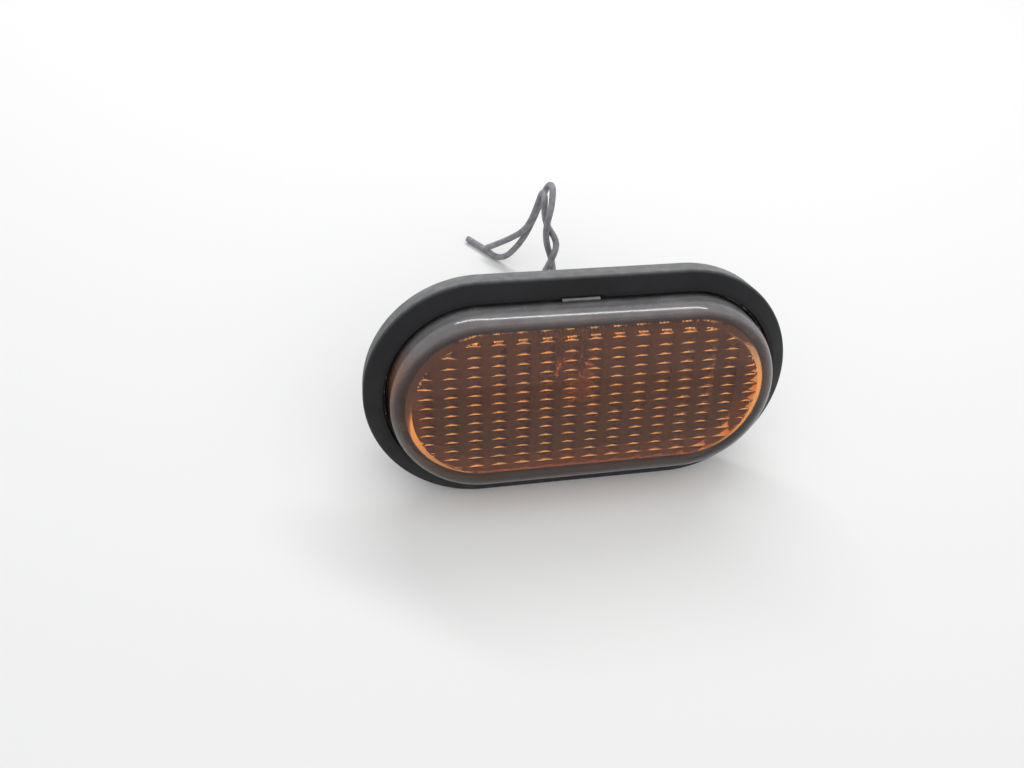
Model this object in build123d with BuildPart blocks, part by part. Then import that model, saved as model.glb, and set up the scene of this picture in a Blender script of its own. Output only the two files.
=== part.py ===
"""Oval side repeater lamp for a car wing: amber lens, dark housing, rubber gasket, bulb holder and tail wires.

Millimetres. The origin is the middle of the gasket's seat on the body panel, +X runs along the lamp,
+Z is up and the lens faces -Y. Heights in front of the panel are positive offsets of Plane.XZ, whose
normal is -Y, and depths behind the panel are negative ones.
"""

import os
from math import atan2, degrees, radians, tan

from build123d import *

os.makedirs("parts", exist_ok=True)

# Gasket, the rubber frame between the lamp and the panel
GASKET_BORDER = 4.3
GASKET_THICKNESS = 5.8
GASKET_WALL = 4.2
GASKET_SLOPE_WIDTH = 2.9
GASKET_EDGE_RADIUS = 0.8
GASKET_BACK_RADIUS = 0.5
GASKET_LEDGE_WIDTH = 0.6
GASKET_LEDGE_DEPTH = 1.0
GASKET_WEB_BACK = 0.5
GASKET_WEB_FRONT = 2.0
GASKET_SEAT_INSET = 5.0
GASKET_CLEARANCE = 0.25

# Lens, the amber front moulding
LENS_LENGTH = 73.4
LENS_HEIGHT = 35.4
LENS_FRONT = 12.8
LENS_WALL = 2.2
LENS_DRAFT = 3.0
LENS_EDGE_RADIUS = 5.4
LENS_CROWN_RADIUS = 300.0
LENS_FACE = 3.0
CAVITY_EDGE_RADIUS = 2.0
KEY_LENGTH = 7.0
KEY_MIDDLE = -1.2
KEY_REACH = 0.7
KEY_THICKNESS = 0.8
KEY_CLEARANCE = 0.1
KEY_NOTCH_DEPTH = 0.4

# Lenslets, rows of small crossed hollows in the back of the lens face
LENSLET_COLUMNS = 15
LENSLET_ROWS = 14
COLUMN_PITCH = 4.32
ROW_PITCH = 1.853
LENSLET_WIDTH = 3.05
LENSLET_DEPTH = 0.45
COLUMN_SHIFT = 0.3
ROW_SHIFT = 1.283
LENSLET_ROOT = 0.3
LENSLET_MARGIN = 0.4

# Housing, the dark tub behind the lens
FLANGE_THICKNESS = 2.4
TUB_INSET = 3.7
TUB_WALL = 2.0
TUB_DEPTH = 10.0
TUB_FLOOR = 2.0
TUB_BACK_RADIUS = 2.5
SPIGOT_RISE = 2.0
SPIGOT_CLEARANCE = 0.2
NECK_OUTER = 24.4
NECK_BORE = 18.2
NECK_END = 16.0
NECK_EDGE = 0.6
GUSSET_THICKNESS = 1.6
GUSSET_REACH = 11.0
GUSSET_RISE = 5.0
GUSSET_SPREAD = 14.0

# Panel retention: a fixed hook at one end and a spring clip at the other
PANEL_GAP = 1.6
HOOK_WIDTH = 10.0
HOOK_REACH = 2.0
HOOK_NOSE = 1.4
HOOK_BACK = 7.0
PAD_WIDTH = 12.4
PAD_ROOT = 14.0
PAD_START = 0.6
PAD_BACK = 9.0
RAIL_THICKNESS = 1.4
RAIL_RISE = 1.2
CLIP_WIDTH = 9.0
CLIP_THICKNESS = 0.5
CLIP_SPREAD = 3.0
CLIP_LIP = 1.6
CLIP_CLEARANCE = 0.05

# Bulb holder, a quarter turn fit in the housing's neck
BARREL_OUTER = 17.8
BARREL_FRONT = 5.5
LUG_COUNT = 3
LUG_WIDTH = 3.0
LUG_REACH = 1.5
LUG_THICKNESS = 1.8
LUG_TURN = 40.0
LUG_CLEARANCE = 0.2
SEAL_THICKNESS = 1.4
SEAL_OUTER = 23.6
SEAL_CLEARANCE = 0.1
HOLDER_FLANGE_OUTER = 25.4
HOLDER_FLANGE_THICKNESS = 2.2
HOLDER_BODY_OUTER = 16.0
HOLDER_BODY_END = 31.0
PADDLE_LENGTH = 23.0
PADDLE_THICKNESS = 4.2
PADDLE_DEPTH = 8.0
PADDLE_GROOVES = 3
PADDLE_GROOVE_PITCH = 1.9
PADDLE_GROOVE_RADIUS = 0.5
SOCKET_WIDTH = 10.6
SOCKET_HEIGHT = 6.6

# Wedge base bulb
BULB_TIP = 6.0
BULB_RADIUS = 5.1
BULB_GLASS = 0.6
BULB_SHOULDER = 9.0
BULB_NECK_RADIUS = 3.6
BULB_PINCH = 13.0
WEDGE_WIDTH = 9.5
WEDGE_THICKNESS = 2.2
WEDGE_END = 20.8
WEDGE_EDGE = 0.5
LEAD_DIAMETER = 0.45
LEAD_SPACING = 4.4
LEAD_FOLD_LENGTH = 5.8
FILAMENT_DEPTH = 0.5
FILAMENT_SAG = 0.9
FILAMENT_DIAMETER = 0.4

# Contacts, crimps, wire seals and the cap that keeps them in
CONTACT_SPACING = 5.2
CONTACT_WIDTH = 3.0
CONTACT_THICKNESS = 0.4
CONTACT_CLEARANCE = 0.05
CONTACT_FRONT = 13.5
CONTACT_BACK = 22.3
CRIMP_GAP = 0.2
CRIMP_WALL = 0.35
CRIMP_CHAMBER = 3.2
WIRE_SEAL_OUTER = 4.2
WIRE_SEAL_LIP = 0.15
WIRE_SEAL_LENGTH = 3.4
CAP_LENGTH = 12.4
CAP_HEIGHT = 7.2
CAP_THICKNESS = 1.8
CAP_SPIGOT = 0.9
CAP_SPIGOT_INSET = 0.7
POCKET_CLEARANCE = 0.1
WIRE_HOLE_CLEARANCE = 0.15

# Tail wires
WIRE_DIAMETER = 1.5
CRIMP_GRIP = 0.03
WIRE_ARC_SHARE = 0.45
WIRE_STRAIGHT = 2.2

# Levels and places worked out from the sizes above
GASKET_LENGTH = LENS_LENGTH + 2 * GASKET_BORDER
GASKET_HEIGHT = LENS_HEIGHT + 2 * GASKET_BORDER
TUB_LENGTH = LENS_LENGTH - 2 * TUB_INSET
TUB_HEIGHT = LENS_HEIGHT - 2 * TUB_INSET
PAD_FACE = TUB_LENGTH / 2
LENS_BASE = GASKET_WEB_FRONT + FLANGE_THICKNESS
CAVITY_FRONT = LENS_FRONT - LENS_FACE
CAVITY_LENGTH = LENS_LENGTH - 2 * LENS_WALL
CAVITY_HEIGHT = LENS_HEIGHT - 2 * LENS_WALL
CAVITY_SHRINK = 2 * (CAVITY_FRONT - LENS_BASE) * tan(radians(LENS_DRAFT))
SPIGOT_LENGTH = CAVITY_LENGTH - 2 * (SPIGOT_CLEARANCE + SPIGOT_RISE * tan(radians(LENS_DRAFT)))
SPIGOT_HEIGHT = SPIGOT_LENGTH - CAVITY_LENGTH + CAVITY_HEIGHT
TUB_FLOOR_FRONT = TUB_DEPTH - TUB_FLOOR
TUB_INNER_LENGTH = TUB_LENGTH - 2 * TUB_WALL
TUB_INNER_HEIGHT = TUB_HEIGHT - 2 * TUB_WALL
LUG_BACK = TUB_FLOOR_FRONT - KEY_CLEARANCE
HOLDER_FLANGE_FRONT = NECK_END + SEAL_THICKNESS
HOLDER_FLANGE_BACK = HOLDER_FLANGE_FRONT + HOLDER_FLANGE_THICKNESS
WIRE_START = CONTACT_BACK + CONTACT_THICKNESS + 0.6
CAP_BACK = HOLDER_BODY_END + CAP_THICKNESS
SEAL_FRONT = HOLDER_BODY_END - CAP_SPIGOT - WIRE_SEAL_LENGTH
CRIMP_BORE = WIRE_DIAMETER + 2 * CRIMP_GRIP
LEAF_FACE = WEDGE_THICKNESS / 2 + LEAD_DIAMETER + CONTACT_CLEARANCE
SIDES = {"left": -1, "right": 1}


def front(height):
    """The plane that many millimetres in front of the panel, drawn as the lamp is seen from the front."""
    return Plane.XZ.offset(height)


def behind(depth):
    """The plane that many millimetres behind the panel."""
    return Plane.XZ.offset(-depth)


def finish(builder, name):
    """Labels the finished piece and writes it as its own STEP file."""
    builder.part.label = name
    export_step(builder.part, f"parts/{name}.step")


# Gasket: a rounded frame with a sunk ledge round the lens and a thin web behind the housing's flange
with BuildPart() as gasket:
    with BuildSketch(front(0)):
        SlotOverall(GASKET_LENGTH, GASKET_HEIGHT)
    extrude(amount=GASKET_WALL)
    with BuildSketch(front(GASKET_WALL)):
        SlotOverall(GASKET_LENGTH, GASKET_HEIGHT)
    slope = degrees(atan2(GASKET_SLOPE_WIDTH, GASKET_THICKNESS - GASKET_WALL))
    extrude(amount=GASKET_THICKNESS - GASKET_WALL, taper=slope)
    rim = gasket.edges().filter_by_position(Axis.Y, -GASKET_WALL - 0.01, 0.01 - GASKET_WALL)
    fillet(rim, GASKET_EDGE_RADIUS)
    fillet(gasket.faces().sort_by(Axis.Y)[-1].edges(), GASKET_BACK_RADIUS)
    with BuildSketch(front(GASKET_THICKNESS)):
        SlotOverall(LENS_LENGTH + 2 * GASKET_LEDGE_WIDTH, LENS_HEIGHT + 2 * GASKET_LEDGE_WIDTH)
        with Locations((KEY_MIDDLE, LENS_HEIGHT / 2 + GASKET_LEDGE_WIDTH)):
            Rectangle(KEY_LENGTH + 2 * KEY_NOTCH_DEPTH, 2 * KEY_NOTCH_DEPTH)
    extrude(amount=-GASKET_LEDGE_DEPTH, mode=Mode.SUBTRACT)
    with BuildSketch(front(GASKET_WEB_FRONT)):
        SlotOverall(LENS_LENGTH + 2 * GASKET_CLEARANCE, LENS_HEIGHT + 2 * GASKET_CLEARANCE)
    extrude(amount=GASKET_THICKNESS, mode=Mode.SUBTRACT)
    with BuildSketch(front(0)):
        SlotOverall(TUB_LENGTH + 2 * GASKET_CLEARANCE, TUB_HEIGHT + 2 * GASKET_CLEARANCE)
    extrude(amount=GASKET_THICKNESS, mode=Mode.SUBTRACT)
    with BuildSketch(front(0)):
        SlotOverall(GASKET_LENGTH - 2 * GASKET_SEAT_INSET, GASKET_HEIGHT - 2 * GASKET_SEAT_INSET)
    extrude(amount=GASKET_WEB_BACK, mode=Mode.SUBTRACT)
finish(gasket, "gasket")

# Hollow of the lens, a drafted slot with a softened front edge
with BuildPart() as lens_hollow:
    with BuildSketch(front(LENS_BASE)):
        SlotOverall(CAVITY_LENGTH, CAVITY_HEIGHT)
    extrude(amount=CAVITY_FRONT - LENS_BASE, taper=LENS_DRAFT)
    fillet(lens_hollow.faces().sort_by(Axis.Y)[0].edges(), CAVITY_EDGE_RADIUS)

# Columns of upright hollows, as one slab with rounded ribs and flat lands between them
with BuildPart() as lenslet_columns:
    with BuildSketch(Plane.XY):
        with BuildLine():
            half = LENSLET_COLUMNS * COLUMN_PITCH / 2
            land = (COLUMN_PITCH - LENSLET_WIDTH) / 2
            foot = -CAVITY_FRONT
            for column in range(LENSLET_COLUMNS):
                start = COLUMN_SHIFT - half + column * COLUMN_PITCH
                Line((start, foot), (start + land, foot))
                SagittaArc((start + land, foot), (start + land + LENSLET_WIDTH, foot), -LENSLET_DEPTH)
                Line((start + land + LENSLET_WIDTH, foot), (start + COLUMN_PITCH, foot))
            Polyline(
                (COLUMN_SHIFT + half, foot),
                (COLUMN_SHIFT + half, foot + LENSLET_ROOT),
                (COLUMN_SHIFT - half, foot + LENSLET_ROOT),
                (COLUMN_SHIFT - half, foot),
            )
        make_face()
    extrude(amount=LENS_HEIGHT / 2, both=True)

# Lenslets: level rows crossed with the columns and trimmed to the flat of the lens's hollow
with BuildPart() as lenslets:
    with BuildSketch(Plane.YZ):
        with BuildLine():
            half = LENSLET_ROWS * ROW_PITCH / 2
            for row in range(LENSLET_ROWS):
                start = ROW_SHIFT - half + row * ROW_PITCH
                SagittaArc((foot, start), (foot, start + ROW_PITCH), LENSLET_DEPTH)
            Polyline(
                (foot, ROW_SHIFT + half),
                (foot + LENSLET_ROOT, ROW_SHIFT + half),
                (foot + LENSLET_ROOT, ROW_SHIFT - half),
                (foot, ROW_SHIFT - half),
            )
        make_face()
    extrude(amount=LENS_LENGTH / 2, both=True)
    add(lenslet_columns.part, mode=Mode.INTERSECT)
    with BuildSketch(front(LENS_BASE)):
        SlotOverall(
            CAVITY_LENGTH - CAVITY_SHRINK - 2 * (CAVITY_EDGE_RADIUS + LENSLET_MARGIN),
            CAVITY_HEIGHT - CAVITY_SHRINK - 2 * (CAVITY_EDGE_RADIUS - LENSLET_MARGIN),
        )
    extrude(amount=LENS_FRONT, mode=Mode.INTERSECT)

# Lens: crowned amber shell with a rounded shoulder, the lenslets sunk in its back and a key on its top edge
with BuildPart() as lens:
    with BuildSketch(front(LENS_BASE)):
        SlotOverall(LENS_LENGTH, LENS_HEIGHT)
    extrude(amount=LENS_FRONT - LENS_BASE + LENS_EDGE_RADIUS, taper=LENS_DRAFT)
    with BuildSketch(Plane.YZ):
        with Locations((LENS_CROWN_RADIUS - LENS_FRONT, 0)):
            Circle(LENS_CROWN_RADIUS)
    extrude(amount=LENS_LENGTH, both=True, mode=Mode.INTERSECT)
    crown = lens.faces().filter_by(lambda face: face.geom_type == GeomType.CYLINDER).sort_by(Axis.Y)[0]
    fillet(crown.edges(), LENS_EDGE_RADIUS)
    add(lens_hollow.part, mode=Mode.SUBTRACT)
    add(lenslets.part, mode=Mode.SUBTRACT)
    with BuildSketch(front(GASKET_THICKNESS - GASKET_LEDGE_DEPTH + KEY_CLEARANCE)):
        with Locations((KEY_MIDDLE, LENS_HEIGHT / 2)):
            Rectangle(KEY_LENGTH, 2 * KEY_REACH)
        SlotOverall(LENS_LENGTH - LENS_WALL, LENS_HEIGHT - LENS_WALL, mode=Mode.SUBTRACT)
    extrude(amount=KEY_THICKNESS)
finish(lens, "lens")

# Housing: flange under the lens, tub through the panel, neck for the bulb holder
with BuildPart() as housing:
    with BuildSketch(front(GASKET_WEB_FRONT)):
        SlotOverall(LENS_LENGTH, LENS_HEIGHT)
    extrude(amount=FLANGE_THICKNESS)
    with BuildSketch(front(LENS_BASE)):
        SlotOverall(SPIGOT_LENGTH, SPIGOT_HEIGHT)
    extrude(amount=SPIGOT_RISE)
    with BuildSketch(front(GASKET_WEB_FRONT)):
        SlotOverall(TUB_LENGTH, TUB_HEIGHT)
    extrude(amount=-(GASKET_WEB_FRONT + TUB_DEPTH))
    fillet(housing.faces().sort_by(Axis.Y)[-1].edges(), TUB_BACK_RADIUS)
    with BuildSketch(behind(TUB_FLOOR_FRONT)):
        Circle(NECK_OUTER / 2)
    extrude(amount=TUB_FLOOR_FRONT - NECK_END)
    chamfer(housing.faces().sort_by(Axis.Y)[-1].edges(), NECK_EDGE)
    with BuildSketch(behind(TUB_DEPTH)):
        for side in SIDES.values():
            for level in (-GUSSET_SPREAD / 2, GUSSET_SPREAD / 2):
                with Locations((side * NECK_OUTER / 2, level)):
                    Rectangle(2 * GUSSET_REACH, GUSSET_THICKNESS)
    extrude(amount=-GUSSET_RISE, taper=degrees(atan2(GUSSET_THICKNESS, GUSSET_RISE)) / 4)
    with BuildSketch(Plane.XY):
        with BuildLine():
            Polyline(
                (TUB_WALL - TUB_LENGTH / 2, PANEL_GAP),
                (-HOOK_REACH - TUB_LENGTH / 2, PANEL_GAP),
                (-HOOK_REACH - TUB_LENGTH / 2, PANEL_GAP + HOOK_NOSE),
                (-TUB_LENGTH / 2, HOOK_BACK),
                (TUB_WALL - TUB_LENGTH / 2, HOOK_BACK),
                close=True,
            )
        make_face()
    extrude(amount=HOOK_WIDTH / 2, both=True)
    with BuildSketch(behind(PAD_START)):
        with Locations((PAD_FACE - PAD_ROOT / 2, 0)):
            Rectangle(PAD_ROOT, PAD_WIDTH)
        for level in (-1, 1):
            with Locations((PAD_FACE, level * (CLIP_WIDTH / 2 + CLIP_CLEARANCE + RAIL_THICKNESS / 2))):
                Rectangle(2 * RAIL_RISE, RAIL_THICKNESS)
    extrude(amount=PAD_START - PAD_BACK)
    with BuildSketch(front(LENS_BASE + SPIGOT_RISE)):
        SlotOverall(TUB_INNER_LENGTH, TUB_INNER_HEIGHT)
    extrude(amount=-(LENS_BASE + SPIGOT_RISE + TUB_FLOOR_FRONT), mode=Mode.SUBTRACT)
    with BuildSketch(behind(TUB_FLOOR_FRONT)):
        Circle(NECK_BORE / 2)
        with PolarLocations(NECK_BORE / 2, LUG_COUNT, start_angle=90):
            Rectangle(2 * (LUG_REACH + LUG_CLEARANCE), LUG_WIDTH + 2 * LUG_CLEARANCE)
    extrude(amount=TUB_FLOOR_FRONT - NECK_END, mode=Mode.SUBTRACT)
finish(housing, "housing")

# Spring clip: a hairpin of steel strip between the rails, its outer leg bowed to grip the panel's edge
with BuildPart() as spring_clip:
    with BuildSketch(Plane.XY):
        with BuildLine():
            inner = PAD_FACE + CLIP_CLEARANCE + CLIP_THICKNESS / 2
            clip_line = FilletPolyline(
                (inner, PANEL_GAP),
                (inner, PAD_BACK + 2 * CLIP_THICKNESS),
                (inner + 2.5 * CLIP_THICKNESS, PAD_BACK + 2 * CLIP_THICKNESS),
                (inner + CLIP_SPREAD, PANEL_GAP + CLIP_SPREAD),
                (inner + CLIP_SPREAD - CLIP_LIP, PANEL_GAP),
                radius=CLIP_THICKNESS,
            )
            offset(clip_line, CLIP_THICKNESS / 2, side=Side.BOTH)
        make_face()
    extrude(amount=CLIP_WIDTH / 2, both=True)
finish(spring_clip, "spring_clip")

# Bulb leads: from the filament through the glass pinch and folded back along one face of the wedge
leads = {}
for name, side in SIDES.items():
    with BuildPart() as lead:
        with BuildLine():
            across = side * LEAD_SPACING / 2
            fold = side * (WEDGE_THICKNESS + LEAD_DIAMETER) / 2
            turn = WEDGE_END + LEAD_DIAMETER
            FilletPolyline(
                (across, FILAMENT_DEPTH, 0),
                (across, turn, 0),
                (across, turn, fold),
                (across, turn - LEAD_FOLD_LENGTH, fold),
                radius=LEAD_DIAMETER,
            )
        with BuildSketch(Plane((across, FILAMENT_DEPTH, 0), z_dir=(0, 1, 0))):
            Circle(LEAD_DIAMETER / 2)
        sweep()
    leads[name] = lead
    finish(lead, f"bulb_lead_{name}")

# Filament: a fine coil's outer form, hanging as a shallow bow between the two leads
with BuildPart() as filament:
    with BuildLine():
        reach = (LEAD_SPACING - LEAD_DIAMETER) / 2
        level = FILAMENT_DEPTH + FILAMENT_DIAMETER / 2
        bow = ThreePointArc((-reach, level, 0), (0, level - FILAMENT_SAG, 0), (reach, level, 0))
    with BuildSketch(Plane(bow @ 0, z_dir=bow % 0)):
        Circle(FILAMENT_DIAMETER / 2)
    sweep()
finish(filament, "bulb_filament")

# Bulb glass: a blown envelope pinched flat into the wedge base, with the leads sealed through it
with BuildPart() as bulb_glass:
    with BuildSketch(Plane.XY):
        with BuildLine():
            Line((0, -BULB_TIP), (0, BULB_PINCH))
            Line((0, BULB_PINCH), (BULB_NECK_RADIUS, BULB_PINCH))
            Line((BULB_NECK_RADIUS, BULB_PINCH), (BULB_RADIUS, BULB_SHOULDER))
            Line((BULB_RADIUS, BULB_SHOULDER), (BULB_RADIUS, BULB_RADIUS - BULB_TIP))
            RadiusArc((BULB_RADIUS, BULB_RADIUS - BULB_TIP), (0, -BULB_TIP), BULB_RADIUS)
        make_face()
    revolve(axis=Axis.Y)
    with BuildSketch(behind(BULB_SHOULDER)):
        RectangleRounded(WEDGE_WIDTH, WEDGE_THICKNESS, WEDGE_EDGE)
    extrude(amount=BULB_SHOULDER - WEDGE_END)
    with BuildSketch(Plane.XY):
        with BuildLine():
            hollow = BULB_RADIUS - BULB_GLASS
            Line((0, BULB_GLASS - BULB_TIP), (0, BULB_SHOULDER))
            Line((0, BULB_SHOULDER), (hollow, BULB_SHOULDER - hollow / 2))
            Line((hollow, BULB_SHOULDER - hollow / 2), (hollow, BULB_RADIUS - BULB_TIP))
            RadiusArc((hollow, BULB_RADIUS - BULB_TIP), (0, BULB_GLASS - BULB_TIP), hollow)
        make_face()
    revolve(axis=Axis.Y, mode=Mode.SUBTRACT)
    for lead in leads.values():
        add(lead.part, mode=Mode.SUBTRACT)
finish(bulb_glass, "bulb_glass")

# Contacts: each grips the wedge between two leaves and is crimped round its wire
for name, side in SIDES.items():
    across = side * CONTACT_SPACING / 2
    with BuildPart() as contact:
        with BuildSketch(Plane.YZ.offset(across)):
            middle = (CONTACT_FRONT + CONTACT_BACK) / 2
            with Locations((middle, 0)):
                Rectangle(CONTACT_BACK - CONTACT_FRONT, 2 * (LEAF_FACE + CONTACT_THICKNESS))
            with Locations((middle - CONTACT_THICKNESS, 0)):
                Rectangle(CONTACT_BACK - CONTACT_FRONT, 2 * LEAF_FACE, mode=Mode.SUBTRACT)
        extrude(amount=CONTACT_WIDTH / 2, both=True)
        with BuildSketch(behind(CONTACT_BACK)):
            with Locations((across, -(CRIMP_BORE + CRIMP_WALL) / 2)):
                Rectangle(CRIMP_BORE, CRIMP_WALL)
        extrude(amount=CONTACT_BACK - WIRE_START - CRIMP_WALL)
        with BuildSketch(behind(WIRE_START)):
            with Locations((across, 0)):
                Circle(CRIMP_BORE / 2 + CRIMP_WALL)
                Circle(CRIMP_BORE / 2, mode=Mode.SUBTRACT)
        extrude(amount=WIRE_START + CRIMP_GAP - SEAL_FRONT)
    finish(contact, f"contact_{name}")

# Holder seal: a flat rubber ring between the neck and the holder's flange
with BuildPart() as holder_seal:
    with BuildSketch(behind(NECK_END)):
        Circle(SEAL_OUTER / 2)
        Circle(BARREL_OUTER / 2 + SEAL_CLEARANCE, mode=Mode.SUBTRACT)
    extrude(amount=-SEAL_THICKNESS)
finish(holder_seal, "holder_seal")

# Bulb holder: lugged barrel, flange, finger paddle and the chambers for contacts and wire seals
with BuildPart() as bulb_holder:
    with BuildSketch(behind(BARREL_FRONT)):
        Circle(BARREL_OUTER / 2)
    extrude(amount=BARREL_FRONT - HOLDER_FLANGE_BACK)
    with BuildSketch(behind(LUG_BACK)):
        with PolarLocations(BARREL_OUTER / 2, LUG_COUNT, start_angle=90 + LUG_TURN):
            Rectangle(2 * LUG_REACH, LUG_WIDTH)
    extrude(amount=LUG_THICKNESS)
    with BuildSketch(behind(HOLDER_FLANGE_FRONT)):
        Circle(HOLDER_FLANGE_OUTER / 2)
    extrude(amount=-HOLDER_FLANGE_THICKNESS)
    with BuildSketch(behind(HOLDER_FLANGE_BACK)):
        Circle(HOLDER_BODY_OUTER / 2)
    extrude(amount=HOLDER_FLANGE_BACK - HOLDER_BODY_END)
    with BuildSketch(behind(HOLDER_FLANGE_BACK)):
        SlotOverall(PADDLE_LENGTH, PADDLE_THICKNESS)
    extrude(amount=-PADDLE_DEPTH)
    with BuildSketch(behind(HOLDER_FLANGE_BACK)):
        for side in SIDES.values():
            for level in (-1, 1):
                for groove in range(PADDLE_GROOVES):
                    grip = PADDLE_LENGTH / 2 - (groove + 1) * PADDLE_GROOVE_PITCH + PADDLE_GROOVE_RADIUS
                    with Locations((side * grip, level * PADDLE_THICKNESS / 2)):
                        Circle(PADDLE_GROOVE_RADIUS)
    extrude(amount=-PADDLE_DEPTH, mode=Mode.SUBTRACT)
    with BuildSketch(behind(BARREL_FRONT)):
        Circle(BULB_RADIUS + 2 * POCKET_CLEARANCE)
    extrude(amount=BARREL_FRONT - BULB_PINCH, mode=Mode.SUBTRACT)
    with BuildSketch(behind(BARREL_FRONT)):
        Rectangle(SOCKET_WIDTH, SOCKET_HEIGHT)
    extrude(amount=BARREL_FRONT - CONTACT_BACK, mode=Mode.SUBTRACT)
    with BuildSketch(behind(CONTACT_BACK)):
        with GridLocations(CONTACT_SPACING, 0, 2, 1):
            Circle(CRIMP_CHAMBER / 2)
    extrude(amount=CONTACT_BACK - SEAL_FRONT, mode=Mode.SUBTRACT)
    with BuildSketch(behind(SEAL_FRONT)):
        with GridLocations(CONTACT_SPACING, 0, 2, 1):
            Circle(WIRE_SEAL_OUTER / 2 + POCKET_CLEARANCE)
    extrude(amount=SEAL_FRONT - HOLDER_BODY_END, mode=Mode.SUBTRACT)
    with BuildSketch(behind(HOLDER_BODY_END)):
        SlotOverall(CAP_LENGTH - 2 * CAP_SPIGOT_INSET, CAP_HEIGHT - 2 * CAP_SPIGOT_INSET)
    extrude(amount=CAP_SPIGOT, mode=Mode.SUBTRACT)
finish(bulb_holder, "bulb_holder")

# Wire seals: ribbed rubber sleeves that fill the holder's rear chambers
for name, side in SIDES.items():
    with BuildPart() as wire_seal:
        with BuildSketch(behind(SEAL_FRONT)):
            with Locations((side * CONTACT_SPACING / 2, 0)):
                Circle(WIRE_SEAL_OUTER / 2)
                Circle(WIRE_DIAMETER / 2 + CONTACT_CLEARANCE, mode=Mode.SUBTRACT)
        extrude(amount=-WIRE_SEAL_LENGTH)
        with BuildSketch(behind(SEAL_FRONT + WIRE_SEAL_LENGTH / 4)):
            with Locations((side * CONTACT_SPACING / 2, 0)):
                Circle(WIRE_SEAL_OUTER / 2)
                Circle(WIRE_SEAL_OUTER / 2 - WIRE_SEAL_LIP, mode=Mode.SUBTRACT)
        extrude(amount=-WIRE_SEAL_LENGTH / 2, mode=Mode.SUBTRACT)
    finish(wire_seal, f"wire_seal_{name}")

# Retainer cap: closes the holder's back over the wire seals
with BuildPart() as retainer_cap:
    with BuildSketch(behind(HOLDER_BODY_END)):
        SlotOverall(CAP_LENGTH, CAP_HEIGHT)
    extrude(amount=-CAP_THICKNESS)
    fillet(retainer_cap.faces().sort_by(Axis.Y)[-1].edges(), CAP_SPIGOT_INSET)
    with BuildSketch(behind(HOLDER_BODY_END)):
        SlotOverall(
            CAP_LENGTH - 2 * (CAP_SPIGOT_INSET + POCKET_CLEARANCE),
            CAP_HEIGHT - 2 * (CAP_SPIGOT_INSET + POCKET_CLEARANCE),
        )
    extrude(amount=CAP_SPIGOT)
    with BuildSketch(behind(HOLDER_BODY_END - CAP_SPIGOT)):
        with GridLocations(CONTACT_SPACING, 0, 2, 1):
            Circle(WIRE_DIAMETER / 2 + WIRE_HOLE_CLEARANCE)
    extrude(amount=-(CAP_SPIGOT + CAP_THICKNESS), mode=Mode.SUBTRACT)
finish(retainer_cap, "retainer_cap")

# Routes of the two cut tail wires, chosen by hand from the photograph: out of the cap, up in a loose
# twist, over a fold and down behind the lamp, where they part
WIRE_ROUTES = {
    "left": [
        (-CONTACT_SPACING / 2, WIRE_START, 0),
        (-CONTACT_SPACING / 2, CAP_BACK + WIRE_STRAIGHT, 0),
        (-0.2, 39.4, 2.0),
        (2.7, 41.5, 6.4),
        (3.9, 40.5, 9.4),
        (5.6, 41.8, 12.8),
        (2.9, 43.1, 16.8),
        (2.3, 43.0, 20.2),
        (2.6, 43.6, 23.3),
        (2.5, 46.2, 24.0),
        (1.9, 48.0, 20.6),
        (0.8, 49.6, 16.4),
        (-0.8, 51.6, 12.8),
        (-5.2, 55.4, 9.2),
        (-9.0, 58.3, 6.9),
    ],
    "right": [
        (CONTACT_SPACING / 2, WIRE_START, 0),
        (CONTACT_SPACING / 2, CAP_BACK + WIRE_STRAIGHT, 0),
        (4.5, 39.6, 2.2),
        (4.7, 42.4, 6.4),
        (4.1, 43.3, 9.4),
        (2.8, 42.2, 12.8),
        (2.3, 40.7, 17.0),
        (3.6, 40.9, 21.6),
        (4.3, 43.0, 26.2),
        (4.0, 48.6, 24.6),
        (2.2, 51.6, 17.0),
        (-0.9, 53.3, 9.6),
        (-5.6, 55.7, 4.1),
        (-9.6, 60.6, 6.2),
        (-13.2, 64.0, 7.7),
    ],
}


def corner_radii(points):
    """The widest arcs that fit the corners of a route: a share of the shorter run beside each corner."""
    radii = []
    for before, corner, after in zip(points, points[1:], points[2:]):
        run_in = Vector(*corner) - Vector(*before)
        run_out = Vector(*after) - Vector(*corner)
        turn = radians(run_in.get_angle(run_out))
        radii.append(WIRE_ARC_SHARE * min(run_in.length, run_out.length) / tan(turn / 2))
    return radii


# Tail wires: plain insulated tubes along those routes
for name, route in WIRE_ROUTES.items():
    radii = corner_radii(route)
    print(f"wire_{name} bend radii", [round(radius, 1) for radius in radii])
    with BuildPart() as wire:
        with BuildLine() as wire_line:
            FilletPolyline(*route, radius=radii)
        with BuildSketch(Plane(route[0], z_dir=(0, 1, 0))):
            Circle(WIRE_DIAMETER / 2)
        sweep()
    length = wire_line.wire().length
    print(f"wire_{name} length", round(length, 1), "volume", round(wire.part.volume, 1))
    finish(wire, f"wire_{name}")
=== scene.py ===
"""Looks of the oval side repeater lamp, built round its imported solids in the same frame, in metres."""

import math

import bmesh
import bpy
from mathutils import Matrix, Vector


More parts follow.
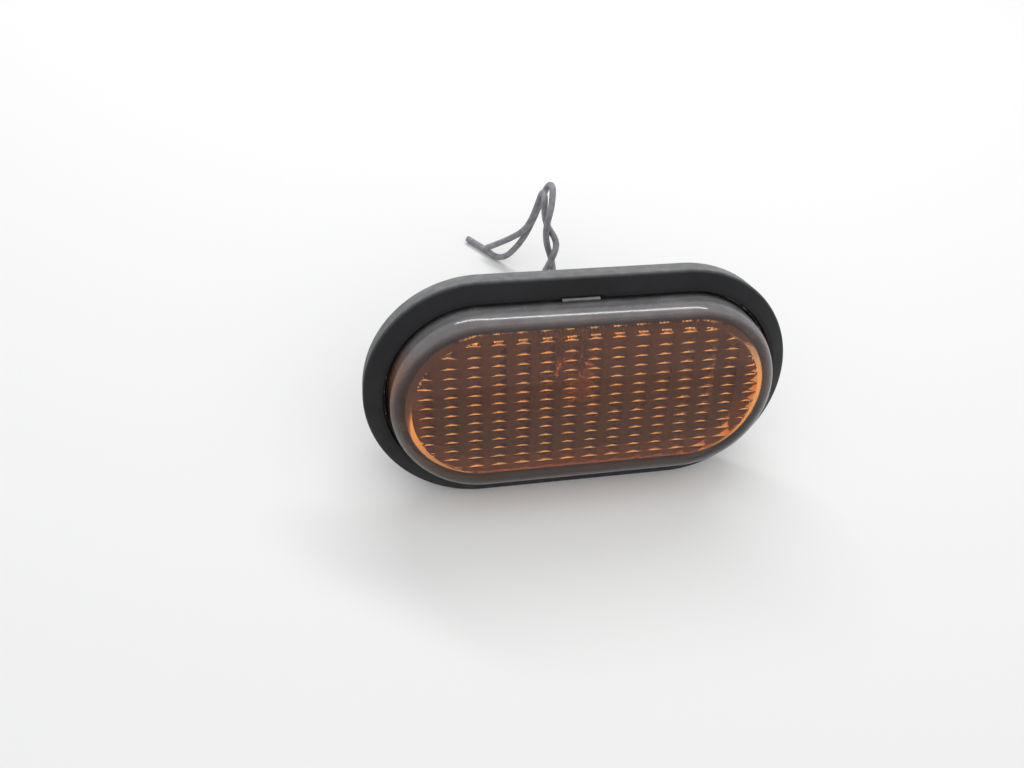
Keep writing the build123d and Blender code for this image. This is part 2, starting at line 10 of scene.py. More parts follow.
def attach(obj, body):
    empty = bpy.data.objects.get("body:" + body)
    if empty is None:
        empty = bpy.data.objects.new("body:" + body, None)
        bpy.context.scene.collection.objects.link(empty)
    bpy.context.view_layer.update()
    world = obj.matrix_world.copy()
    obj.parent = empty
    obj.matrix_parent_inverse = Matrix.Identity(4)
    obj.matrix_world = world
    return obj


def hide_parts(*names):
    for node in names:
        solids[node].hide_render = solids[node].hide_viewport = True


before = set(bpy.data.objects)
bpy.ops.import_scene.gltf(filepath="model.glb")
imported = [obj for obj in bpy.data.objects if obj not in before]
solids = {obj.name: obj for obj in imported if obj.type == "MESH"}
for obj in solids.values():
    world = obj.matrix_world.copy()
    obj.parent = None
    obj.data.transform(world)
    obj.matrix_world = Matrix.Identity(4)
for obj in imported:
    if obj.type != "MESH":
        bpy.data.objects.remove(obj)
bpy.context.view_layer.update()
scene = bpy.context.scene
scene.view_settings.view_transform = "Standard"

MM = 0.001

# Sizes shared with the solids, in millimetres
STRAIGHT_HALF = 19.0
GASKET_RADIUS = 22.0
LENS_RADIUS = 17.7
LENS_BASE = 4.4
LENS_FRONT = 12.79
LENS_DRAFT = math.radians(3.0)
LENS_SHOULDER = 5.4
LENS_CROWN = 300.0
HOLLOW_INSET = 2.2
HOLLOW_FRONT = 9.8
KEY_LOW = (-4.7, -5.7, 17.2)
KEY_HIGH = (2.3, -4.9, 18.4)
WIRE_DIAMETER = 1.5

# Details of the lens that only the scene has, in millimetres
FACE_RINGS = (LENS_RADIUS, 13.0, 9.0)
LENS_FOOT = ((0.09, 1.7), (0.03, 0.5), (0.05, 0.15), (0.2, 0.0))
OPTICS_RADIUS = 13.2
HOLLOW_CHAMFER = 0.75
WALL_BEND = (0.25, 0.8)
FLUTE_DEPTH = 0.14
TOP_RIDGE = 0.45
TOP_TEETH = 0.18

# Camera, at the photograph's viewing angle
CAMERA_PLACE = Vector((-0.03585, -0.13029, 0.0708))
CAMERA_AIM = Vector((0.1541, 0.8656, -0.4764)).normalized()
CAMERA_UP = Vector((0.0778, 0.4701, 0.8792))
SENSOR_WIDTH = 36.0
FOCAL_LENGTH = 27.42
NEAREST_SEEN = 0.005


def photo_camera():
    data = bpy.data.cameras.new("camera")
    data.sensor_width = SENSOR_WIDTH
    data.lens = FOCAL_LENGTH
    data.clip_start = NEAREST_SEEN
    camera = bpy.data.objects.new("camera", data)
    scene.collection.objects.link(camera)
    right = CAMERA_AIM.cross(CAMERA_UP).normalized()
    above = right.cross(CAMERA_AIM)
    turn = Matrix((right, above, -CAMERA_AIM)).transposed().to_4x4()
    camera.matrix_world = Matrix.Translation(CAMERA_PLACE) @ turn
    scene.camera = camera


class Finish:
    """A procedural material: a Principled shader and short calls that add the nodes it needs."""

    def __init__(self, name, **sockets):
        self.material = bpy.data.materials.new(name)
        self.material.use_nodes = True
        self.tree = self.material.node_tree
        self.shader = self.tree.nodes["Principled BSDF"]
        self.place = self.node("ShaderNodeTexCoord").outputs["Object"]
        for socket, value in sockets.items():
            constant = (*value, 1) if isinstance(value, tuple) else value
            self.shader.inputs[socket.replace("_", " ")].default_value = constant

    def node(self, kind, **settings):
        made = self.tree.nodes.new(kind)
        for name, value in settings.items():
            setattr(made, name, value)
        return made

    def join(self, source, target):
        self.tree.links.new(source, target)

    def feed(self, socket, value):
        self.join(value, self.shader.inputs[socket])

    def axis(self, letter):
        """One coordinate of the piece, in metres."""
        made = self.node("ShaderNodeSeparateXYZ")
        self.join(self.place, made.inputs[0])
        return made.outputs[letter]

    def noise(self, scale, detail, stretch=None):
        """Noise in object space; scale counts features to the metre."""
        made = self.node("ShaderNodeTexNoise")
        made.inputs["Scale"].default_value = scale
        made.inputs["Detail"].default_value = detail
        made.inputs["Roughness"].default_value = 0.55
        source = self.place
        if stretch:
            mapping = self.node("ShaderNodeMapping")
            mapping.inputs["Scale"].default_value = stretch
            self.join(source, mapping.inputs["Vector"])
            source = mapping.outputs["Vector"]
        self.join(source, made.inputs["Vector"])
        return made.outputs["Fac"]

    def span(self, value, limits, to_low, to_high):
        """Spreads a value between two limits onto two others, clamped."""
        made = self.node("ShaderNodeMapRange")
        sockets = ("From Min", "From Max", "To Min", "To Max")
        for name, number in zip(sockets, (*limits, to_low, to_high)):
            made.inputs[name].default_value = number
        self.join(value, made.inputs["Value"])
        return made.outputs["Result"]

    def mask(self, value, limits):
        """Nothing at the first limit, all at the second."""
        return self.span(value, limits, 0.0, 1.0)

    def scaled(self, mask, at_none, at_all):
        """One number where a mask is nothing and another where it is all."""
        return self.span(mask, (0.0, 1.0), at_none, at_all)

    def combine(self, operation, first, second):
        made = self.node("ShaderNodeMath", operation=operation)
        self.join(first, made.inputs[0])
        self.join(second, made.inputs[1])
        return made.outputs[0]

    def total(self, first, second):
        return self.combine("ADD", first, second)

    def product(self, first, second):
        return self.combine("MULTIPLY", first, second)

    def tint(self, value, dark, light, places=(0.3, 0.7)):
        """A colour ramp between two colours."""
        made = self.node("ShaderNodeValToRGB")
        for element, place, colour in zip(made.color_ramp.elements, places, (dark, light)):
            element.position = place
            element.color = (*colour, 1)
        self.join(value, made.inputs["Fac"])
        return made.outputs["Color"]

    def blend(self, share, first, second):
        """A mix of two colours."""
        made = self.node("ShaderNodeMix", data_type="RGBA")
        self.join(share, made.inputs["Factor"])
        self.join(first, made.inputs[6])
        self.join(second, made.inputs[7])
        return made.outputs[2]

    def relief(self, value, strength, distance):
        made = self.node("ShaderNodeBump")
        made.inputs["Strength"].default_value = strength
        made.inputs["Distance"].default_value = distance
        self.join(value, made.inputs["Height"])
        self.feed("Normal", made.outputs["Normal"])


# Where finishes change, in metres: depth is along Y, with the front negative, and height along Z
# The gasket wall's limits bound the painted light on its top
GASKET_WALL_DEPTH = (-0.0045, -0.0037)
GASKET_WALL_HEIGHT = (0.006, 0.019)
SHOULDER_START = (-0.0119, -0.011)
SHOULDER_END = (-0.0106, -0.0101)
SHOULDER_HEIGHT = (-0.015, -0.006)
# The lens wall's limits bound the painted reflection on its top
LENS_WALL_DEPTH = (-0.0112, -0.0102)
LENS_WALL_HEIGHT = (0.002, 0.012)
KEY_LIGHTER_HEIGHT = (0.0178, 0.0183)

AMBER = ((0.93, 0.34, 0.075), (0.97, 0.39, 0.095))


def gasket_rubber():
    """Black rubber, with painted light: the top of the outer wall is painted light grey for the light and
    reflection it catches from above.
    """
    finish = Finish("gasket_rubber", Specular_IOR_Level=0.2)
    # Painted light: a mask that grows up the outer wall, for the light falling on its top
    behind = finish.mask(finish.axis("Y"), GASKET_WALL_DEPTH)
    wall = finish.product(behind, finish.span(finish.axis("Z"), GASKET_WALL_HEIGHT, 0.1, 1.0))
    face = finish.tint(finish.noise(60, 5), (0.008, 0.0082, 0.009), (0.016, 0.016, 0.018), (0.3, 0.75))
    # The grey of the painted light on the wall's top
    painted_top_light = finish.tint(finish.noise(500, 5), (0.13, 0.132, 0.136), (0.22, 0.223, 0.229), (0.3, 0.75))
    finish.feed("Base Color", finish.blend(wall, face, painted_top_light))
    finish.feed("Roughness", finish.span(finish.noise(420, 4), (0.3, 0.7), 0.4, 0.6))
    finish.relief(finish.noise(2600, 3), 0.25, 0.0001)
    return finish.material


def amber_plastic():
    """Clear amber in the face and underside, smoky on the shoulder, and opaque grey on the wall's top: a
    painted reflection of the bright room.
    """
    finish = Finish("amber_lens", IOR=1.5, Sheen_Roughness=0.35, Sheen_Tint=(0.8, 0.78, 0.8))
    depth = finish.axis("Y")
    height = finish.axis("Z")
    band = finish.product(finish.mask(depth, SHOULDER_START), finish.span(depth, SHOULDER_END, 1.0, 0.0))
    shoulder = finish.product(band, finish.mask(height, SHOULDER_HEIGHT))
    # Painted reflection: the wall's top turns opaque grey, for the bright room it reflects
    wall = finish.product(finish.mask(depth, LENS_WALL_DEPTH), finish.mask(height, LENS_WALL_HEIGHT))
    amber = finish.tint(finish.noise(35, 3), *AMBER)
    shade = finish.tint(finish.noise(120, 4), (0.2, 0.165, 0.18), (0.3, 0.25, 0.265))
    # The grey of the painted reflection on the wall's top
    painted_reflection = finish.tint(finish.noise(220, 5), (0.24, 0.23, 0.24), (0.36, 0.35, 0.36))
    finish.feed("Base Color", finish.blend(wall, finish.blend(shoulder, amber, shade), painted_reflection))
    clear = finish.total(finish.scaled(shoulder, 1.0, 0.98), finish.scaled(wall, 0.0, -0.45))
    finish.feed("Transmission Weight", clear)
    finish.feed("Sheen Weight", finish.scaled(shoulder, 0.0, 0.06))
    scuff = finish.span(finish.noise(160, 5), (0.35, 0.75), 0.05, 0.1)
    dull = finish.total(finish.scaled(shoulder, 0.0, 0.06), finish.scaled(wall, 0.0, 0.07))
    finish.feed("Roughness", finish.total(scuff, dull))
    return finish.material


def amber_inside():
    finish = Finish("amber_inside", IOR=1.5, Transmission_Weight=0.95)
    finish.feed("Base Color", finish.tint(finish.noise(35, 3), *AMBER))
    finish.feed("Roughness", finish.span(finish.noise(240, 3), (0.4, 0.8), 0.0, 0.04))
    return finish.material


def key_plastic():
    """Black plastic, turning lighter grey towards its top edge."""
    finish = Finish("key_plastic")
    # The colour turns lighter grey towards the key's top edge
    edge = finish.span(finish.axis("Z"), KEY_LIGHTER_HEIGHT, -0.3, 0.2)
    lighter_top = finish.total(finish.noise(900, 5, (0.3, 1, 1)), edge)
    finish.feed("Base Color", finish.tint(lighter_top, (0.04, 0.04, 0.041), (0.32, 0.31, 0.32), (0.3, 0.75)))
    finish.feed("Roughness", finish.span(finish.noise(600, 3), (0.3, 0.7), 0.4, 0.7))
    return finish.material


def dusty_rubber():
    """The gasket's ledge, with grit caught in it."""
    finish = Finish("dusty_rubber", Specular_IOR_Level=0.3)
    grit = finish.noise(1100, 4, (0.5, 1, 1))
    finish.feed("Base Color", finish.tint(grit, (0.02, 0.02, 0.021), (0.3, 0.29, 0.28), (0.52, 0.66)))
    finish.feed("Roughness", finish.span(grit, (0.4, 0.7), 0.5, 0.9))
    return finish.material


def satin_plastic(name, dark, light):
    finish = Finish(name)
    finish.feed("Base Color", finish.tint(finish.noise(90, 4), dark, light))
    finish.feed("Roughness", finish.span(finish.noise(700, 3), (0.3, 0.7), 0.36, 0.56))
    finish.relief(finish.noise(5200, 2), 0.3, 0.00005)
    return finish.material


def spring_steel():
    finish = Finish("spring_steel", Metallic=1.0)
    finish.feed("Base Color", finish.tint(finish.noise(300, 4), (0.4, 0.4, 0.41), (0.6, 0.6, 0.61)))
    finish.feed("Roughness", finish.span(finish.noise(500, 4, (1, 1, 14)), (0.3, 0.7), 0.2, 0.42))
    return finish.material


def contact_brass():
    finish = Finish("contact_brass", Metallic=1.0, Roughness=0.28)
    finish.feed("Base Color", finish.tint(finish.noise(500, 3), (0.62, 0.44, 0.18), (0.78, 0.6, 0.28)))
    return finish.material


def bulb_wire():
    finish = Finish("bulb_wire", Metallic=1.0, Roughness=0.3)
    finish.feed("Base Color", finish.tint(finish.noise(900, 2), (0.45, 0.44, 0.43), (0.62, 0.6, 0.58)))
    return finish.material


def clear_glass():
    finish = Finish("bulb_glass", IOR=1.45, Transmission_Weight=1.0)
    finish.feed("Base Color", finish.tint(finish.noise(120, 2), (0.94, 0.96, 0.96), (0.98, 0.98, 0.98)))
    finish.feed("Roughness", finish.span(finish.noise(300, 3), (0.4, 0.8), 0.0, 0.04))
    return finish.material


def wire_sheath():
    """Weathered grey plastic."""
    finish = Finish("wire_sheath", Roughness=0.5)
    finish.feed("Base Color", finish.tint(finish.noise(700, 5), (0.17, 0.165, 0.18), (0.33, 0.32, 0.35)))
    finish.relief(finish.noise(2400, 3), 0.3, 0.0001)
    return finish.material


def object_from(name, mesh, materials, smooth_angle=None):
    """A piece at the origin with its materials, shaded smooth apart from edges sharper than the angle."""
    for material in materials:
        mesh.materials.append(material)
    piece = bpy.data.objects.new(name, mesh)
    scene.collection.objects.link(piece)
    if smooth_angle:
        mesh.shade_smooth()
        mesh.set_sharp_from_angle(angle=math.radians(smooth_angle))
    return piece


def outline(count):
    """Points round the slot shape as (place on the middle line, outward x, outward z), evenly spread."""
    reach = LENS_RADIUS - HOLLOW_INSET
    straight = 2 * STRAIGHT_HALF
    bend = math.pi * reach
    whole = 2 * (straight + bend)
    points = []
    for index in range(count):
        along = whole * index / count
        if along < straight:
            points.append((along - STRAIGHT_HALF, 0.0, 1.0))
            continue
        along -= straight
        if along < bend:
            turn = math.pi / 2 - along / reach
            points.append((STRAIGHT_HALF, math.cos(turn), math.sin(turn)))
            continue
        along -= bend
        if along < straight:
            points.append((STRAIGHT_HALF - along, 0.0, -1.0))
            continue
        turn = -math.pi / 2 - (along - straight) / reach
        points.append((-STRAIGHT_HALF, math.cos(turn), math.sin(turn)))
    return points


def sweep_slot(profile, radius, count, placed, closed=False, second=()):
    """A skin through rings round the slot shape; the profile gives each ring's inset and height in front.

    The function placed gives each point's x, height and z. The steps in second take the second material.
    """
    bm = bmesh.new()
    path = outline(count)
    rings = []
    for place, (inset, height) in enumerate(profile):
        ring = []
        reach = max(radius - inset, 0.0)
        for index, (middle, out_x, out_z) in enumerate(path):
            x, front, z = placed(place, index, middle, out_x, out_z, reach, height)
            ring.append(bm.verts.new((x * MM, -front * MM, z * MM)))
        rings.append(ring)
    pairs = list(zip(rings, rings[1:]))
    if closed:
        pairs.append((rings[-1], rings[0]))
    for step, (lower, upper) in enumerate(pairs):
        for index in range(count):
            after = (index + 1) % count
            face = bm.faces.new((lower[index], lower[after], upper[after], upper[index]))
            face.material_index = int(step in second)
    bmesh.ops.remove_doubles(bm, verts=bm.verts, dist=1e-7)
    bmesh.ops.recalc_face_normals(bm, faces=bm.faces)
    mesh = bpy.data.meshes.new("swept")
    bm.to_mesh(mesh)
    bm.free()
    return mesh


def arc(middle, radius, start, end, steps):
    """Points of a profile's rounded corner, as (inset, height)."""
    inset, height = middle
    turns = [math.radians(start + (end - start) * step / steps) for step in range(steps + 1)]
    return [(inset - radius * math.cos(turn), height + radius * math.sin(turn)) for turn in turns]


def lens_body():
    """The amber lens: crowned face, rounded shoulder, fluted wall and chamfer inside, lenslets in its back.

    The chamfer runs round the ends. It turns into a toothed ridge along the top and fades along the bottom.
    """
    rise = LENS_FRONT - LENS_SHOULDER - LENS_BASE
    corner_inset = rise * math.tan(LENS_DRAFT) + LENS_SHOULDER / math.cos(LENS_DRAFT)
    outer = [(inset, LENS_FRONT) for inset in FACE_RINGS]
    outer += arc((corner_inset, LENS_FRONT - LENS_SHOULDER), LENS_SHOULDER, 90, 3, 16)
    outer += [(inset, LENS_BASE + height) for inset, height in LENS_FOOT]
    wall_top = HOLLOW_FRONT - HOLLOW_CHAMFER
    slant = LENS_RADIUS - OPTICS_RADIUS - HOLLOW_CHAMFER
    half_chamfer = HOLLOW_CHAMFER / 2
    bend_inset, bend_drop = WALL_BEND
    inner = [
        (HOLLOW_INSET, LENS_BASE),
        (slant - bend_inset, wall_top - bend_drop),
        (slant, wall_top),
        (slant + half_chamfer, HOLLOW_FRONT - half_chamfer),
        (slant + HOLLOW_CHAMFER, HOLLOW_FRONT),
    ]
    fluted = len(outer) + 2

    def placed(place, index, middle, out_x, out_z, reach, height):
        along_top, along_bottom = max(out_z, 0.0) ** 6, max(-out_z, 0.0) ** 4
        tooth = index % 2
        if place == fluted:
            height += HOLLOW_CHAMFER * (along_top + along_bottom)
            reach += FLUTE_DEPTH * tooth + TOP_RIDGE * along_top - HOLLOW_CHAMFER * along_bottom
        if place == fluted + 1:
            height += TOP_TEETH * tooth * along_top + half_chamfer * along_bottom
            reach += TOP_RIDGE * along_top - half_chamfer * along_bottom
        x, z = middle + reach * out_x, reach * out_z
        if place < len(outer):
            share = min((height - LENS_BASE) / (LENS_FRONT - LENS_BASE), 1.0)
            height -= share * (LENS_CROWN - math.sqrt(LENS_CROWN**2 - z * z))
        return x, height, z

    inside = amber_inside()
    hidden = range(len(outer), len(outer) + len(inner))
    mesh = sweep_slot(outer + inner, LENS_RADIUS, 496, placed, second=hidden)
    bm = bmesh.new()
    bm.from_mesh(mesh)
    first = len(bm.faces)
    bm.from_mesh(grown("lenslets", lenslet_sheet(inside)))
    bm.faces.ensure_lookup_table()
    bm.normal_update()
    backs = bm.faces[first:]
    if sum(face.normal.y for face in backs) < 0:
        bmesh.ops.reverse_faces(bm, faces=backs)
    for vert in {vert for face in backs for vert in face.verts}:
        vert.co.y -= HOLLOW_FRONT * MM
    for face in backs:
        face.material_index = 1
    bm.to_mesh(mesh)
    bm.free()
    return object_from("lens_body", mesh, (amber_plastic(), inside), 24)


LENSLET_SIZES = {
    "Columns": 17.0,
    "Rows": 15.0,
    "Column Pitch": 4.32 * MM,
    "Row Pitch": 1.853 * MM,
    "Lenslet Width": 3.3 * MM,
    "Column Depth": 0.56 * MM,
    "Row Depth": 0.6 * MM,
    "Row Curve": 1.3,
    "Edge Fade": 0.08 * MM,
    "Column Shift": 0.3 * MM,
    "Row Shift": 0.3565 * MM,
    "Straight Half": STRAIGHT_HALF * MM,
    "End Radius": OPTICS_RADIUS * MM,
    "Trim Margin": 0.4 * MM,
    "Column Steps": 12.0,
    "Row Steps": 14.0,
}


def lenslet_sheet(material):
    """A node tree that sinks crossed hollows in a grid and trims it to the slot shape."""
    tree = bpy.data.node_groups.new("lenslets", "GeometryNodeTree")
    for name, value in LENSLET_SIZES.items():
        socket = tree.interface.new_socket(name, in_out="INPUT", socket_type="NodeSocketFloat")
        socket.default_value = value
    tree.interface.new_socket("Geometry", in_out="OUTPUT", socket_type="NodeSocketGeometry")
    nodes, links = tree.nodes, tree.links
    given = nodes.new("NodeGroupInput").outputs

    def reckon(operation, *values):
        made = nodes.new("ShaderNodeMath")
        made.operation = operation
        for socket, value in zip(made.inputs, values):
            if isinstance(value, (int, float)):
                socket.default_value = value
            else:
                links.new(value, socket)
        return made.outputs[0]

    def off_middle(place, whole, pitch, span):
        """How far a place is from the middle of its cell, as a share of half the span."""
        cell = reckon("DIVIDE", reckon("MULTIPLY_ADD", whole, 0.5, place), pitch)
        off = reckon("SUBTRACT", reckon("FRACT", reckon("ADD", cell, 0.0001)), 0.5)
        share = reckon("DIVIDE", reckon("MULTIPLY", off, pitch), reckon("MULTIPLY", span, 0.5))
        return reckon("ABSOLUTE", share)

    def hollow(share, depth):
        return reckon("MULTIPLY", reckon("SUBTRACT", 1.0, reckon("MINIMUM", share, 1.0)), depth)

    width = reckon("MULTIPLY", given["Columns"], given["Column Pitch"])
    height = reckon("MULTIPLY", given["Rows"], given["Row Pitch"])
    grid = nodes.new("GeometryNodeMeshGrid")
    links.new(width, grid.inputs["Size X"])
    links.new(height, grid.inputs["Size Y"])
    points_across = reckon("MULTIPLY_ADD", given["Columns"], given["Column Steps"], 1.0)
    points_up = reckon("MULTIPLY_ADD", given["Rows"], given["Row Steps"], 1.0)
    links.new(points_across, grid.inputs["Vertices X"])
    links.new(points_up, grid.inputs["Vertices Y"])
    flat = nodes.new("ShaderNodeSeparateXYZ")
    links.new(nodes.new("GeometryNodeInputPosition").outputs[0], flat.inputs[0])

    # Depth of the crossed hollows at each point of the flat grid
    column = off_middle(flat.outputs["X"], width, given["Column Pitch"], given["Lenslet Width"])
    row = off_middle(flat.outputs["Y"], height, given["Row Pitch"], given["Row Pitch"])
    across_rows = hollow(reckon("POWER", row, given["Row Curve"]), given["Row Depth"])
    sunk = reckon("MINIMUM", hollow(column, given["Column Depth"]), across_rows)

    # Points past the slot shape's edge are drawn in to it, and those well past it are cut off
    across = reckon("ADD", flat.outputs["X"], given["Column Shift"])
    up = reckon("ADD", flat.outputs["Y"], given["Row Shift"])
    half, radius = given["Straight Half"], given["End Radius"]
    spine = reckon("MAXIMUM", reckon("MINIMUM", across, half), reckon("MULTIPLY", half, -1.0))
    beyond = reckon("SUBTRACT", across, spine)
    reach = reckon("SQRT", reckon("ADD", reckon("MULTIPLY", beyond, beyond), reckon("MULTIPLY", up, up)))
    pull = reckon("MINIMUM", reckon("DIVIDE", radius, reckon("MAXIMUM", reach, 1e-6)), 1.0)
    inside = reckon("DIVIDE", reckon("SUBTRACT", radius, reach), given["Edge Fade"])
    fade = reckon("MAXIMUM", reckon("MINIMUM", inside, 1.0), 0.0)
    placed = nodes.new("ShaderNodeCombineXYZ")
    links.new(reckon("MULTIPLY_ADD", beyond, pull, spine), placed.inputs["X"])
    links.new(reckon("MULTIPLY", sunk, reckon("MULTIPLY", fade, -1.0)), placed.inputs["Y"])
    links.new(reckon("MULTIPLY", up, pull), placed.inputs["Z"])
    outside = reckon("GREATER_THAN", reach, reckon("ADD", radius, given["Trim Margin"]))

    trim = nodes.new("GeometryNodeDeleteGeometry")
    links.new(grid.outputs["Mesh"], trim.inputs["Geometry"])
    links.new(outside, trim.inputs["Selection"])
    lift = nodes.new("GeometryNodeSetPosition")
    links.new(trim.outputs[0], lift.inputs["Geometry"])
    links.new(placed.outputs[0], lift.inputs["Position"])
    real = nodes.new("GeometryNodeRealizeInstances")
    links.new(lift.outputs[0], real.inputs[0])
    paint = nodes.new("GeometryNodeSetMaterial")
    paint.inputs["Material"].default_value = material
    links.new(real.outputs[0], paint.inputs[0])
    links.new(paint.outputs[0], nodes.new("NodeGroupOutput").inputs[0])
    return tree


def grown(name, tree):
    """The plain mesh that a node tree makes."""
    holder = bpy.data.objects.new(name, bpy.data.meshes.new(name))
    scene.collection.objects.link(holder)
    modifier = holder.modifiers.new("grow", "NODES")
    modifier.node_group = tree
    evaluated = holder.evaluated_get(bpy.context.evaluated_depsgraph_get())
    mesh = bpy.data.meshes.new_from_object(evaluated)
    bpy.data.objects.remove(holder)
    return mesh


# The gasket's section as (inset, height in front), in millimetres
GASKET_BACK = [(5.0, 0.0), (0.5, 0.0)]
GASKET_SLOPE = [(1.6, 5.08), (2.7, 5.68), (2.95, 5.78)]
GASKET_LIP = [(3.55, 5.78), (3.7, 5.63), (3.7, 4.88), (3.76, 4.8)]
GASKET_WEB = [(3.98, 4.8), (4.05, 4.72), (4.05, 2.0), (7.75, 2.0), (7.75, 0.5), (5.0, 0.5)]
NOTCH_LEFT = -5.1
NOTCH_RIGHT = 2.7
NOTCH_DEPTH = 0.4


def gasket_frame(material, dusty):
    """The rubber frame with its rounded rim, notched lip, sunk ledge and web."""
    profile = GASKET_BACK + arc((0.5, 0.5), 0.5, -90, 0, 4)[1:]
    profile += [(0.0, 2.6)] + arc((0.8, 3.728), 0.8, 0, 61.1, 7) + GASKET_SLOPE
    lip = len(profile)
    profile += GASKET_LIP
    ledge = len(profile) - 1
    profile += GASKET_WEB

    def notched(place, index, middle, out_x, out_z, reach, height):
        if lip <= place <= ledge and out_z == 1.0 and NOTCH_LEFT < middle < NOTCH_RIGHT:
            reach += NOTCH_DEPTH
        return middle + reach * out_x, height, reach * out_z

    mesh = sweep_slot(profile, GASKET_RADIUS, 320, notched, closed=True, second=(ledge,))
    return object_from("gasket_frame", mesh, (material, dusty), 40)


def lens_key(material):
    """The small key that stands on the lens's top edge."""
    low, high = Vector(KEY_LOW), Vector(KEY_HIGH)
    bm = bmesh.new()
    bmesh.ops.create_cube(bm, size=1.0)
    for vert in bm.verts:
        shares = [side + 0.5 for side in vert.co]
        vert.co = Vector(start + share * (end - start) for start, share, end in zip(low, shares, high)) * MM
    bmesh.ops.bevel(bm, geom=bm.edges[:], offset=0.2 * MM, segments=2, affect="EDGES", profile=0.5)
    mesh = bpy.data.meshes.new("lens_key")
    bm.to_mesh(mesh)
    bm.free()
    return object_from("lens_key", mesh, (material,), 40)


# Points that each wire's spline follows, in millimetres
WIRE_ROUTES = {
    "left": [
        (-2.6, 23.3, 0),
        (-2.6, 35.0, 0),
        (-0.2, 39.4, 2.0),
        (2.7, 41.5, 6.4),
        (3.9, 40.5, 9.4),
        (5.6, 41.8, 12.8),
        (2.9, 43.1, 16.8),
        (2.3, 43.0, 20.2),
        (2.6, 43.6, 23.3),
        (2.5, 46.2, 24.0),
        (1.9, 48.0, 20.6),
        (0.8, 49.6, 16.4),
        (-0.8, 51.6, 12.8),
        (-5.2, 55.4, 9.2),
        (-9.0, 58.3, 6.9),
    ],
    "right": [
        (2.6, 23.3, 0),
        (2.6, 35.0, 0),
        (4.5, 39.6, 2.2),
        (4.7, 42.4, 6.4),
        (4.1, 43.3, 9.4),
        (2.8, 42.2, 12.8),
        (2.3, 40.7, 17.0),
        (3.6, 40.9, 21.6),
        (4.3, 43.0, 26.2),
        (4.0, 48.6, 24.6),
        (2.2, 51.6, 17.0),
        (-0.9, 53.3, 9.6),
        (-5.6, 55.7, 4.1),
        (-9.6, 60.6, 6.2),
        (-13.2, 64.0, 7.7),
    ],
}


def tail_wire(side, material):
    """One cut tail wire, a smooth spline along its route."""
    curve = bpy.data.curves.new(f"tail_wire_{side}", "CURVE")
    curve.dimensions = "3D"
    curve.bevel_depth = WIRE_DIAMETER / 2 * MM
    curve.bevel_resolution = 6
    curve.resolution_u = 10
    curve.use_fill_caps = True
    spline = curve.splines.new("NURBS")
    route = WIRE_ROUTES[side]
    spline.points.add(len(route) - 1)
    for point, place in zip(spline.points, route):
        point.co = (*(Vector(place) * MM), 1)
    spline.order_u = 3
    spline.use_endpoint_u = True
    curve.materials.append(material)
    piece = bpy.data.objects.new(f"tail_wire_{side}", curve)
    scene.collection.objects.link(piece)
    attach(piece, "root")
    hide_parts(f"wire_{side}")


# Pieces that stand for solids
lens = lens_body()
key = lens_key(key_plastic())
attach(lens, "root")
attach(key, "root")
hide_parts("lens")
gasket = gasket_frame(gasket_rubber(), dusty_rubber())
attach(gasket, "root")
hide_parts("gasket")

sheath = wire_sheath()
for side in ("left", "right"):
    tail_wire(side, sheath)

# Solids that show as they are
seal_rubber = satin_plastic("seal_rubber", (0.03, 0.03, 0.03), (0.055, 0.053, 0.052))
brass = contact_brass()
lead_wire = bulb_wire()
finishes = {
    "housing": satin_plastic("housing_plastic", (0.03, 0.03, 0.031), (0.046, 0.046, 0.047)),
    "spring_clip": spring_steel(),
    "bulb_holder": satin_plastic("holder_plastic", (0.03, 0.03, 0.033), (0.05, 0.05, 0.052)),
    "holder_seal": seal_rubber,
    "retainer_cap": satin_plastic("cap_plastic", (0.045, 0.045, 0.048), (0.07, 0.07, 0.073)),
    "bulb_glass": clear_glass(),
    "bulb_filament": lead_wire,
    "bulb_lead_left": lead_wire,
    "bulb_lead_right": lead_wire,
    "contact_left": brass,
    "contact_right": brass,
    "wire_seal_left": seal_rubber,
    "wire_seal_right": seal_rubber,
}
for name, material in finishes.items():
    solids[name].data.materials.clear()
    solids[name].data.materials.append(material)

# The table leans in the lamp's frame, because the lamp lies on its holder and the gasket's edge
TABLE_LEAN = math.atan2(14.0, 31.5)
TABLE_START = Vector((0, -0.0005, -0.02203))
TABLE_CORNERS = ((-1.2, -0.6), (1.2, -0.6), (1.2, 1.6), (-1.2, 1.6))
TABLE_COLOUR = (0.86, 0.86, 0.85)


def table_top():
    """A pale board under the leaning lamp, clear from below so that it hides nothing."""
    slope = Vector((0, math.cos(TABLE_LEAN), math.sin(TABLE_LEAN)))
    places = [TABLE_START + slope * along + Vector((across, 0, 0)) for across, along in TABLE_CORNERS]
    mesh = bpy.data.meshes.new("table_top")
    mesh.from_pydata(places, [], [(0, 1, 2, 3)])
    finish = Finish("table_top", Base_Color=TABLE_COLOUR, Roughness=0.7, Specular_IOR_Level=0.2)
    clear = finish.node("ShaderNodeBsdfTransparent")
    mix = finish.node("ShaderNodeMixShader")
    side = finish.node("ShaderNodeNewGeometry")
    finish.join(side.outputs["Backfacing"], mix.inputs["Fac"])
    finish.join(finish.shader.outputs[0], mix.inputs[1])
    finish.join(clear.outputs[0], mix.inputs[2])
    finish.join(mix.outputs[0], finish.tree.nodes["Material Output"].inputs["Surface"])
    board = object_from("table_top", mesh, (finish.material,))


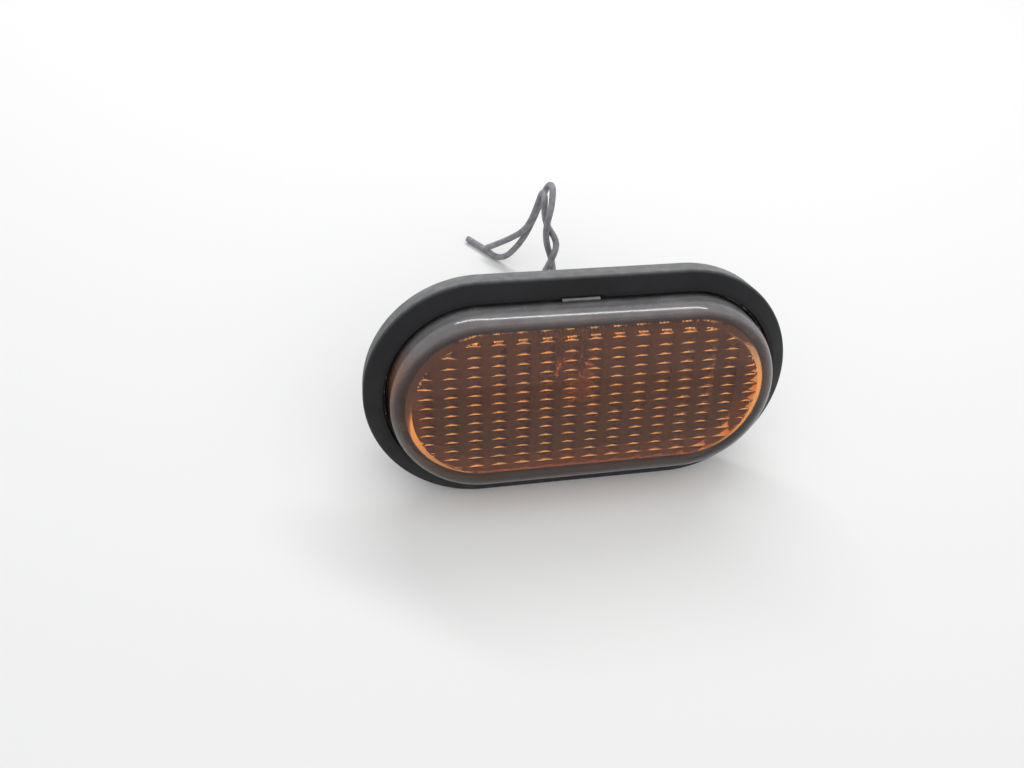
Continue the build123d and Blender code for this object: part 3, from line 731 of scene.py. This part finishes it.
def soft_light(name, place, size, power):
    """A long soft lamp that points at the middle of the gasket's seat."""
    data = bpy.data.lights.new(name, "AREA")
    data.shape = "RECTANGLE"
    data.size, data.size_y = size
    data.energy = power
    lamp = bpy.data.objects.new(name, data)
    lamp.location = place
    lamp.rotation_euler = (-Vector(place)).to_track_quat("-Z", "Y").to_euler()
    scene.collection.objects.link(lamp)


# The room's light by direction: dim all round and bright from above the front
ROOM_COLOUR = (0.98, 0.99, 1.0)
BRIGHT_SIDE = (0, -0.7, 0.714)
ROOM_SPREAD = {"From Min": 0.42, "From Max": 0.85, "To Min": 0.2, "To Max": 1.3}


def room_light():
    """Soft light from above the front, with a plain white background for the camera, gloss and glass."""
    world = bpy.data.worlds.new("room")
    world.use_nodes = True
    nodes, links = world.node_tree.nodes, world.node_tree.links
    background = nodes["Background"]
    background.inputs["Color"].default_value = (*ROOM_COLOUR, 1)
    facing = nodes.new("ShaderNodeVectorMath")
    facing.operation = "DOT_PRODUCT"
    facing.inputs[1].default_value = BRIGHT_SIDE
    links.new(nodes.new("ShaderNodeTexCoord").outputs["Generated"], facing.inputs[0])
    spread = nodes.new("ShaderNodeMapRange")
    for name, number in ROOM_SPREAD.items():
        spread.inputs[name].default_value = number
    links.new(facing.outputs["Value"], spread.inputs["Value"])
    path = nodes.new("ShaderNodeLightPath")
    plain = path.outputs["Is Camera Ray"]
    for kind in ("Is Glossy Ray", "Is Transmission Ray"):
        either = nodes.new("ShaderNodeMath")
        either.operation = "MAXIMUM"
        links.new(plain, either.inputs[0])
        links.new(path.outputs[kind], either.inputs[1])
        plain = either.outputs[0]
    seen = nodes.new("ShaderNodeMix")
    links.new(plain, seen.inputs["Factor"])
    links.new(spread.outputs["Result"], seen.inputs["A"])
    seen.inputs["B"].default_value = 1.0
    links.new(seen.outputs["Result"], background.inputs["Strength"])
    scene.world = world


photo_camera()
table_top()
room_light()
soft_light("overhead", place=(0.06, 0.13, 0.47), size=(0.52, 0.05), power=1.1)
